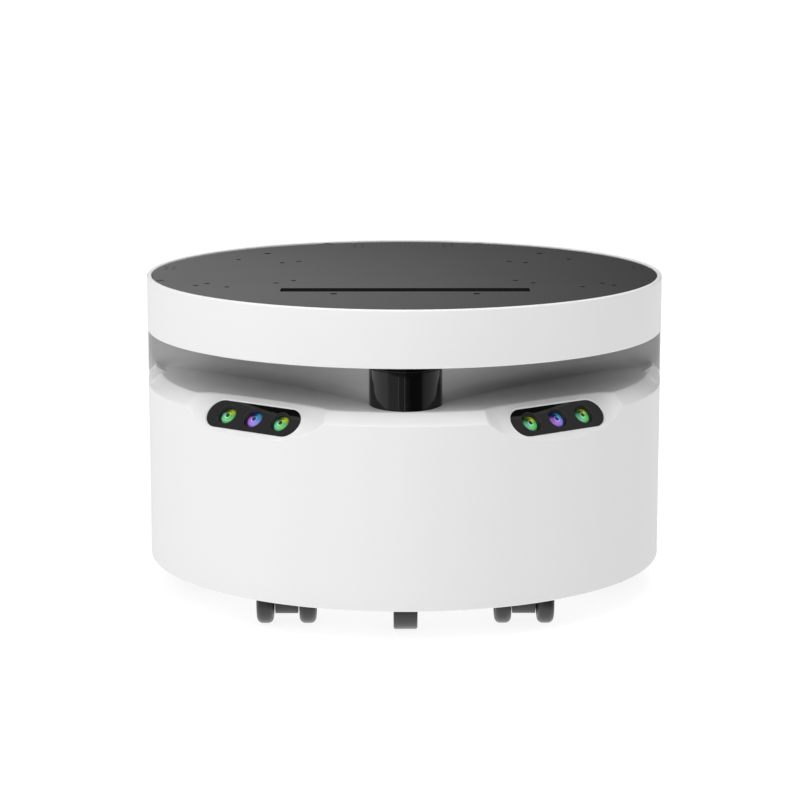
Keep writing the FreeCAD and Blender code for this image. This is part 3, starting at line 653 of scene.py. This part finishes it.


# Coating colours round a lens, with painted reflection: hue and brightness change by angle as the dome's
# reflection would: (degrees anticlockwise from the right, colour)
GREEN_WITH_PAINTED_REFLECTION = ((-180, (0.05, 0.30, 0.15)), (-120, (0.16, 0.52, 0.28)), (-60, (0.10, 0.48, 0.12)),
         (0, (0.04, 0.36, 0.05)), (45, (0.42, 0.44, 0.03)), (90, (0.07, 0.13, 0.01)),
         (135, (0.004, 0.03, 0.008)), (180, (0.05, 0.30, 0.15)))
VIOLET_WITH_PAINTED_REFLECTION = ((-180, (0.22, 0.07, 0.42)), (-120, (0.34, 0.14, 0.62)), (-60, (0.22, 0.20, 0.72)),
          (0, (0.08, 0.15, 0.46)), (45, (0.03, 0.25, 0.42)), (90, (0.01, 0.03, 0.14)),
          (135, (0.003, 0.001, 0.05)), (180, (0.22, 0.07, 0.42)))
# Brightness across the lens: (distance from the lens's middle, factor), dark in the pupil and at the edge,
# with a painted highlight ring just outside the pupil
LENS_BRIGHTNESS_WITH_PAINTED_RING = ((0.0, 0.03), (1.9, 0.06), (2.2, 1.5), (2.9, 1.7), (3.4, 0.8), (5.5, 1.0), (7.2, 0.8),
           (LENS_R, 0.2))
GLINT = 0.12  # added on the left half of the pupil's edge


def lens_colour_with_painted_light(x, y, stops):
    """Colour of the lens at a place in its own plane: coating hue with painted reflection by angle,
    brightness by distance with a painted highlight ring, and the painted glint.
    """
    angle, radius = math.degrees(math.atan2(y, x)), math.hypot(x, y)
    angles = [a for a, _ in stops]
    colour = [float(np.interp(angle, angles, [c[k] for _, c in stops])) for k in range(3)]
    bright = float(np.interp(radius, [r for r, _ in LENS_BRIGHTNESS_WITH_PAINTED_RING], [level for _, level in LENS_BRIGHTNESS_WITH_PAINTED_RING]))
    glint = GLINT if 2.1 < radius < 3.0 and 110 < angle % 360 < 280 else 0.0
    return [min(1.0, c * bright + glint) for c in colour] + [1.0]


def lens_dome(name, centre, stops):
    """Coated front element: a domed glass with the pupil's well in its middle."""
    dome = [(0.0, -2.9), (0.9, -2.9), (1.7, -2.8), (2.0, -2.3), (2.4, -1.95), (3.0, -1.9), (3.6, -2.15),
            (4.6, -2.3), (5.6, -2.6), (6.6, -3.0), (7.4, -3.5), (LENS_R, -4.1), (LENS_R, -4.6), (0.0, -4.6)]
    made = lathe(name, dome, (centre, 0, 0), segments=LENS_SEGMENTS)
    # The mesh carries the lens colour: coating hue with painted reflection, a painted highlight ring and a
    # painted glint
    coating_and_painted_light = made.data.color_attributes.new("coating_and_painted_light", "FLOAT_COLOR", "POINT")
    for vertex, place_of in zip(coating_and_painted_light.data, made.data.vertices):
        vertex.color = lens_colour_with_painted_light(place_of.co.x / MM - centre, place_of.co.y / MM, stops)
    return made


def camera_lenses(side):
    """Three coated lenses in a row; the middle one has the violet coating."""
    matrix = pod_matrix(side)
    bezel_line = rounded([(9.75, -3.0, 0), (9.75, -0.85, 0.2), (10.35, -0.62, 0.2), (10.35, -3.0, 0)], 3)
    tube_line = rounded([(8.15, -8.9, 0), (8.15, -3.0, 0.4), (8.6, -2.4, 0.4), (9.6, -1.2, 0.4),
                         (9.6, -8.9, 0)], 3)
    for k, offset in enumerate((-LENS_PITCH, 0.0, LENS_PITCH)):
        name = "lens_%s_%d" % (side_name(side), k + 1)
        dome = lens_dome(name, offset, VIOLET_WITH_PAINTED_REFLECTION if offset == 0 else GREEN_WITH_PAINTED_REFLECTION)
        bezel = lathe(name + "_bezel", bezel_line, (offset, 0, 0), segments=LENS_SEGMENTS)
        tube = lathe(name + "_tube", tube_line, (offset, 0, 0), segments=LENS_SEGMENTS)
        for piece in (dome, bezel, tube):
            piece.data.transform(matrix)
        place(dome, "chassis", "lens_glass", "camera_lens_glass")
        place(bezel, "chassis", "dark_plastic")
        place(tube, "chassis", SLOT_OF["camera_lens_barrels"], "camera_lens_barrels")


# ---------------------------------------------------------------- lidar

def lidar_skin():
    """Smoked tube and the stepped cap over it, with soft edges."""
    r, inner = LIDAR_R, LIDAR_R - LIDAR_WALL
    low, seam, cap_top = Z_LIDAR_WINDOW, Z_LIDAR_CAP - 0.2, 251.8
    tube = rounded([(inner, low, 0), (r, low, 0), (r, seam, 0.5), (inner, seam, 0)], 4)
    cap = rounded([(0.0, Z_LIDAR_CAP, 0), (r, Z_LIDAR_CAP, 0.2), (r, 247.7, 0.4), (30.9, 247.9, 0.3),
                   (30.8, cap_top, 0), (0.0, cap_top, 0)], 4)
    centre = (0.0, LIDAR_Y, 0.0)
    place(lathe("lidar_tube", tube, centre, segments=160), "chassis", "lidar_smoke", "lidar_window")
    place(lathe("lidar_top", cap, centre, segments=160), "chassis", SLOT_OF["lidar_cap"], "lidar_cap")


# ---------------------------------------------------------------- the scene

def build():
    """All visible pieces: painted CAD nodes, and finer pieces in place of those seen from outside."""
    paint_cad_nodes()
    place(front_shell(), "chassis", "white_shell", "lower_shell")
    place(rear_shell(), "chassis", "white_shell", "lower_shell")
    place(slot_end_steps(), "chassis", "white_shell")
    # The neck's grey finish is painted shade of the slot recess
    place(neck_skin(), "chassis", "grey_shell", "neck_cover")
    place(ring_skin(), "chassis", "white_shell", "top_ring")
    place(ceiling_skin(), "chassis", "black_plastic", "top_ring")
    lidar_skin()
    for side in (-1, 1):
        place(camera_rim(side), "chassis", "white_shell")
        camera_lenses(side)


# ---------------------------------------------------------------- light, floor and camera

# The sky lies above the main picture; it shows in reflections and gives soft light.
# Brightness below the horizon, by azimuth from the front: pale sides, dark front with light strips
LOW_STUDIO = ((-180, 0.85), (-100, 0.95), (-60, 0.85), (-52, 0.50), (-23.5, 0.50), (-22.5, 1.0),
              (-21.5, 1.0), (-20.5, 0.32), (-4.0, 0.28), (-3.2, 1.4), (-2.2, 1.4), (-1.4, 0.2), (6, 0.15),
              (16, 0.04), (48, 0.05), (60, 0.4), (100, 0.65), (140, 0.8), (180, 0.85))
RAMP_TOP = 2.0  # brightness that a full ramp value stands for
GROUND_LEVEL, CEILING_LEVEL = 1.3, 0.5
BAND_LOW, BAND_HIGH = 0.17, 0.32
LEFT_TO_RIGHT = (1.12, 0.33)  # how much brighter the band is on the left

FLOOR_REACH = 60000
# name, place in metres, width, height, watts; all aimed at LAMP_TARGET
LAMPS = (("key", (-1.85, -1.95, 1.85), 2.0, 2.0, 17.0), ("top", (0.0, -0.3, 2.6), 2.4, 2.4, 46.0))
LAMP_TARGET = (0, 0, 0.15)

CAMERA_AT = (-0.0145, -2.5215, 0.6518)
CAMERA_DOWN, CAMERA_TURN = 10.653, -0.234  # degrees below level, and anticlockwise seen from above
FOCAL_LENGTH, SENSOR_WIDTH = 117.32, 36.0


class Sky:
    """World background that depends on the direction only."""

    def __init__(self):
        world = bpy.data.worlds.new("studio")
        bpy.context.scene.world = world
        world.use_nodes = True
        self.tree = world.node_tree
        background = self.tree.nodes["Background"]
        background.inputs["Color"].default_value = (1.0, 1.0, 1.0, 1.0)
        self.strength = background.inputs["Strength"]
        coords = self.tree.nodes.new("ShaderNodeTexCoord")
        split = self.tree.nodes.new("ShaderNodeSeparateXYZ")
        self.tree.links.new(coords.outputs["Generated"], split.inputs["Vector"])
        self.x, self.y, self.z = split.outputs

    def math(self, operation, a, b):
        made = self.tree.nodes.new("ShaderNodeMath")
        made.operation = operation
        for socket, value in zip(made.inputs, (a, b)):
            if isinstance(value, (int, float)):
                socket.default_value = value
            else:
                self.tree.links.new(value, socket)
        return made.outputs[0]

    def spread(self, value, low, high, to_low, to_high):
        """value brought from low ... high to to_low ... to_high, and kept inside."""
        made = self.tree.nodes.new("ShaderNodeMapRange")
        self.tree.links.new(value, made.inputs["Value"])
        limits = (("From Min", low), ("From Max", high), ("To Min", to_low), ("To Max", to_high))
        for socket, number in limits:
            made.inputs[socket].default_value = number
        return made.outputs["Result"]

    def ramp(self, value, stops):
        """Grey level by value, from (position, level) stops."""
        made = self.tree.nodes.new("ShaderNodeValToRGB")
        elements = made.color_ramp.elements
        while len(elements) < len(stops):
            elements.new(0.5)
        for element, (position, level) in zip(elements, stops):
            element.position = position
            element.color = (level, level, level, 1.0)
        self.tree.links.new(value, made.inputs["Fac"])
        return made.outputs["Color"]

    def mix(self, factor, a, b):
        """a where factor is 0 and b where it is 1."""
        return self.math("ADD", self.math("MULTIPLY", self.math("SUBTRACT", 1.0, factor), a),
                         self.math("MULTIPLY", factor, b))


def studio_sky():
    """Dark band above the horizon, darker to the right, under a paler ceiling that is lit from the front."""
    sky = Sky()
    turn = sky.math("ARCTAN2", sky.x, sky.math("MULTIPLY", sky.y, -1.0))
    turn = sky.spread(turn, -math.pi, math.pi, 0.0, 1.0)
    low = sky.ramp(turn, [((a + 180) / 360, level / RAMP_TOP) for a, level in LOW_STUDIO])
    low = sky.math("MULTIPLY", low, RAMP_TOP)
    low = sky.mix(sky.spread(sky.z, -0.45, -0.7, 0.0, 1.0), low, GROUND_LEVEL)
    band = sky.mix(sky.spread(sky.z, 0.1285, 0.1305, 0.0, 1.0), BAND_LOW, BAND_HIGH)
    band = sky.math("MULTIPLY", band, sky.spread(sky.x, -0.1, 0.1, *LEFT_TO_RIGHT))
    front = sky.spread(sky.y, 0.0, -0.5, 0.0, 0.55)
    front = sky.math("MULTIPLY", front, sky.spread(sky.x, -0.7, 0.7, 1.3, 0.3))
    ceiling = sky.math("ADD", front, CEILING_LEVEL)
    high = sky.mix(sky.spread(sky.z, 0.33, 0.38, 0.0, 1.0), band, ceiling)
    level = sky.mix(sky.spread(sky.z, -0.002, 0.002, 0.0, 1.0), low, high)
    sky.tree.links.new(level, sky.strength)


def studio():
    """Pale floor that glows faintly, and two large lamps: one to the front left, one overhead."""
    studio_sky()
    corners = [(-FLOOR_REACH, -FLOOR_REACH, 0), (FLOOR_REACH, -FLOOR_REACH, 0),
               (FLOOR_REACH, FLOOR_REACH, 0), (-FLOOR_REACH, FLOOR_REACH, 0)]
    floor = new_object("floor", corners, [(0, 1, 2, 3)])
    paint = Finish("floor", (0.25, 0.25, 0.25), 0.8, Specular_IOR_Level=0.1, Emission_Strength=0.88)
    paint.set("Emission Color", (1.0, 1.0, 1.0, 1.0))
    floor.data.materials.append(paint.vary_rough(4.0, 0.7, 0.85).bump(80.0, 0.02).material)
    floor.visible_glossy = False
    for name, place_at, width, height, power in LAMPS:
        light = bpy.data.lights.new(name, "AREA")
        light.shape = "RECTANGLE"
        light.size, light.size_y, light.energy = width, height, power
        lamp = bpy.data.objects.new(name, light)
        bpy.context.scene.collection.objects.link(lamp)
        lamp.location = place_at
        aim = Vector(LAMP_TARGET) - Vector(place_at)
        lamp.rotation_euler = aim.to_track_quat("-Z", "Y").to_euler()
        lamp.visible_glossy = False
    bpy.context.scene.view_settings.view_transform = "Standard"


def photographer():
    """Camera in front of the robot, a little above it and looking slightly down."""
    data = bpy.data.cameras.new("camera")
    data.lens, data.sensor_width = FOCAL_LENGTH, SENSOR_WIDTH
    camera = bpy.data.objects.new("camera", data)
    bpy.context.scene.collection.objects.link(camera)
    camera.location = CAMERA_AT
    camera.rotation_euler = (math.radians(90.0 - CAMERA_DOWN), 0.0, math.radians(CAMERA_TURN))
    bpy.context.scene.camera = camera


photographer()
studio()
build()
